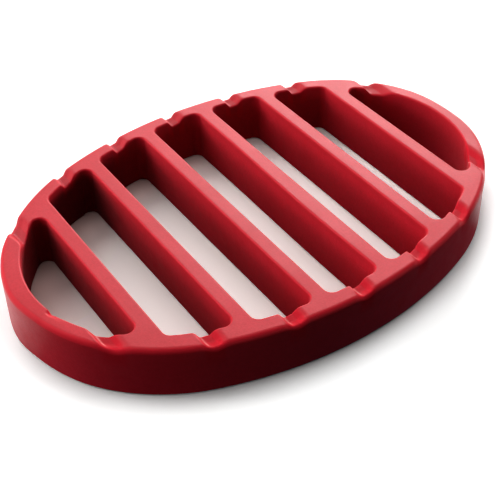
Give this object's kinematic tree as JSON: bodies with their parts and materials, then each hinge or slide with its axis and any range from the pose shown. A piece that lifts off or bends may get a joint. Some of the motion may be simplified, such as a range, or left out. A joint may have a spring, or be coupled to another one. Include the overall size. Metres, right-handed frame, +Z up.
{
  "type": "oval slatted roasting rack",
  "caption": "Oval silicone roasting rack: an upright oval rim carrying a row of parallel slats, with drain notches across the rim's top.",
  "frame": {"origin": "centre of the oval, on the flat underside the rack stands on", "axes": "+X along the oval's length, +Y along the slats, +Z up; the one small nick in the rim's top is at the -X end"},
  "size_m": [0.289, 0.1918, 0.031],
  "materials": {
    "silicone": "satin, opaque moulded silicone"
  },
  "bodies": {
    "root": {"rim": "silicone", "slat_1": "silicone", "slat_2": "silicone", "slat_3": "silicone", "slat_4": "silicone", "slat_5": "silicone", "slat_6": "silicone"}
  },
  "joints": []
}
